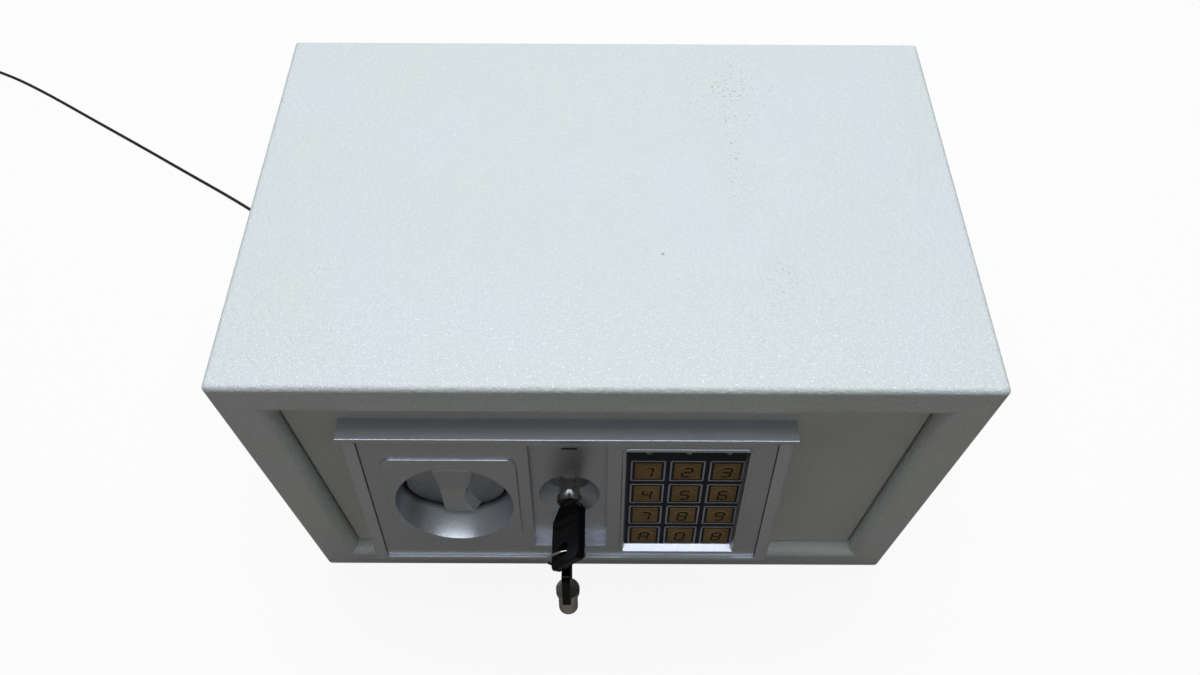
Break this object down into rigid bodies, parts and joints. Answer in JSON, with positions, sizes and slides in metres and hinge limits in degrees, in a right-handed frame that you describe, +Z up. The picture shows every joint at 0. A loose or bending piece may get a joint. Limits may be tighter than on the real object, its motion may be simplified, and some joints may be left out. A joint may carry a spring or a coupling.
{
  "type": "electronic safe",
  "caption": "Small grey steel safe with a tilted silver control panel: turning knob, keypad, override lock with two keys, bolts and a black power lead.",
  "frame": {"origin": "centre of the cabinet's base, where it stands on the floor", "axes": "+X to the right seen from the front, +Y from the door to the rear panel, +Z up"},
  "size_m": [0.6916, 0.4759, 0.2],
  "materials": {
    "grey_coat": "textured powder coat",
    "zinc": "zinc plated",
    "chrome": "polished",
    "brass": "turned",
    "silver_plastic": "metallic silver-grey paint",
    "black_plastic": "glossy",
    "gold_plastic": "metallic brown-gold",
    "red_plastic": "matt",
    "lens": "clear tinted",
    "rubber": "matt",
    "felt": "needle felt",
    "board": "solder mask",
    "cell": "plain wrapped cells"
  },
  "bodies": {
    "cabinet": {"cabinet_shell": "grey_coat", "rear_panel": "grey_coat", "floor_mat": "felt", "hinge_brackets": "grey_coat", "hinge_pins": "zinc", "hinge_washer": "zinc", "door_stops": "grey_coat", "cord_grommet": "black_plastic", "lead_cable": "black_plastic", "lead_coil": "black_plastic", "lead_plug": "black_plastic"},
    "door": {"door_plate": "grey_coat", "hinge_lugs": "grey_coat", "inner_cover": "grey_coat", "cover_posts": "zinc", "cover_screws": "zinc", "panel_housing": "silver_plastic", "panel_faceplate": "silver_plastic", "panel_screws": "zinc", "keypad_plate": "black_plastic", "contact_mat": "rubber", "control_board": "board", "indicator_lenses": "lens", "knob_bushing": "brass", "lock_body": "chrome", "lock_nut": "zinc", "solenoid": "zinc", "guide_studs": "zinc", "battery_box": "black_plastic", "batteries": "cell", "reset_switch": "black_plastic"},
    "knob": {"knob": "silver_plastic", "knob_shaft": "zinc", "crank": "zinc"},
    "bolts": {"bolt_carrier": "zinc", "locking_bolts": "chrome"},
    "plunger": {"solenoid_plunger": "zinc"},
    "lock_rotor": {"lock_rotor": "chrome", "lock_cam": "zinc", "cam_nut": "zinc"},
    "key": {"key_barrel": "chrome", "key_head": "black_plastic"},
    "key_ring": {"key_ring": "chrome"},
    "spare_key": {"spare_key_barrel": "chrome", "spare_key_head": "black_plastic"},
    "reset_button": {"reset_button": "red_plastic"},
    "battery_cover": {"battery_cover": "black_plastic"},
    "button_1": {"button_1": "gold_plastic"},
    "button_2": {"button_2": "gold_plastic"},
    "button_3": {"button_3": "gold_plastic"},
    "button_4": {"button_4": "gold_plastic"},
    "button_5": {"button_5": "gold_plastic"},
    "button_6": {"button_6": "gold_plastic"},
    "button_7": {"button_7": "gold_plastic"},
    "button_8": {"button_8": "gold_plastic"},
    "button_9": {"button_9": "gold_plastic"},
    "button_a": {"button_a": "gold_plastic"},
    "button_0": {"button_0": "gold_plastic"},
    "button_b": {"button_b": "gold_plastic"}
  },
  "joints": [
    {"name": "door_hinge", "type": "hinge", "parent": "cabinet", "child": "door", "pos_m": [0.1222, -0.084, 0.1], "axis": [0, 0, 1], "range_deg": [0, 95]},
    {"name": "knob_turn", "type": "hinge", "parent": "door", "child": "knob", "pos_m": [-0.0675, -0.099, 0.1184], "axis": [0, -1, 0], "range_deg": [0, 90]},
    {"name": "bolt_slide", "type": "slide", "parent": "door", "child": "bolts", "axis": [-1, 0, 0], "range_m": [0, 0.01273]},
    {"name": "plunger_slide", "type": "slide", "parent": "door", "child": "plunger", "axis": [0, 0, 1], "range_m": [0, 0.004]},
    {"name": "key_turn", "type": "hinge", "parent": "door", "child": "lock_rotor", "pos_m": [-0.016, -0.099, 0.118], "axis": [0, 1, 0], "range_deg": [-30, 60]},
    {"name": "key_slide", "type": "slide", "parent": "lock_rotor", "child": "key", "axis": [0, -1, 0], "range_m": [0, 0.018]},
    {"name": "ring_swing", "type": "hinge", "parent": "key", "child": "key_ring", "pos_m": [-0.0176, -0.132, 0.116], "axis": [1, 0, 0], "range_deg": [-15, 5]},
    {"name": "spare_swing", "type": "hinge", "parent": "key_ring", "child": "spare_key", "pos_m": [-0.0176, -0.132, 0.0988], "axis": [1, 0, 0], "range_deg": [-15, 15]},
    {"name": "press_1", "type": "slide", "parent": "door", "child": "button_1", "axis": [0, 0.9781, -0.2079], "range_m": [0, 0.0004], "stiffness_N_per_m": 120},
    {"name": "press_2", "type": "slide", "parent": "door", "child": "button_2", "axis": [0, 0.9781, -0.2079], "range_m": [0, 0.0004], "stiffness_N_per_m": 120},
    {"name": "press_3", "type": "slide", "parent": "door", "child": "button_3", "axis": [0, 0.9781, -0.2079], "range_m": [0, 0.0004], "stiffness_N_per_m": 120},
    {"name": "press_4", "type": "slide", "parent": "door", "child": "button_4", "axis": [0, 0.9781, -0.2079], "range_m": [0, 0.0004], "stiffness_N_per_m": 120},
    {"name": "press_5", "type": "slide", "parent": "door", "child": "button_5", "axis": [0, 0.9781, -0.2079], "range_m": [0, 0.0004], "stiffness_N_per_m": 120},
    {"name": "press_6", "type": "slide", "parent": "door", "child": "button_6", "axis": [0, 0.9781, -0.2079], "range_m": [0, 0.0004], "stiffness_N_per_m": 120},
    {"name": "press_7", "type": "slide", "parent": "door", "child": "button_7", "axis": [0, 0.9781, -0.2079], "range_m": [0, 0.0004], "stiffness_N_per_m": 120},
    {"name": "press_8", "type": "slide", "parent": "door", "child": "button_8", "axis": [0, 0.9781, -0.2079], "range_m": [0, 0.0004], "stiffness_N_per_m": 120},
    {"name": "press_9", "type": "slide", "parent": "door", "child": "button_9", "axis": [0, 0.9781, -0.2079], "range_m": [0, 0.0004], "stiffness_N_per_m": 120},
    {"name": "press_a", "type": "slide", "parent": "door", "child": "button_a", "axis": [0, 0.9781, -0.2079], "range_m": [0, 0.0004], "stiffness_N_per_m": 120},
    {"name": "press_0", "type": "slide", "parent": "door", "child": "button_0", "axis": [0, 0.9781, -0.2079], "range_m": [0, 0.0004], "stiffness_N_per_m": 120},
    {"name": "press_b", "type": "slide", "parent": "door", "child": "button_b", "axis": [0, 0.9781, -0.2079], "range_m": [0, 0.0004], "stiffness_N_per_m": 120},
    {"name": "reset_press", "type": "slide", "parent": "door", "child": "reset_button", "axis": [0, -1, 0], "range_m": [0, 0.0015], "stiffness_N_per_m": 150},
    {"name": "battery_cover_slide", "type": "slide", "parent": "door", "child": "battery_cover", "axis": [-1, 0, 0], "range_m": [0, 0.04]}
  ],
  "couplings": [
    {"joint": "knob_turn", "follows": "bolt_slide", "rad_per_m": 123.41}
  ]
}
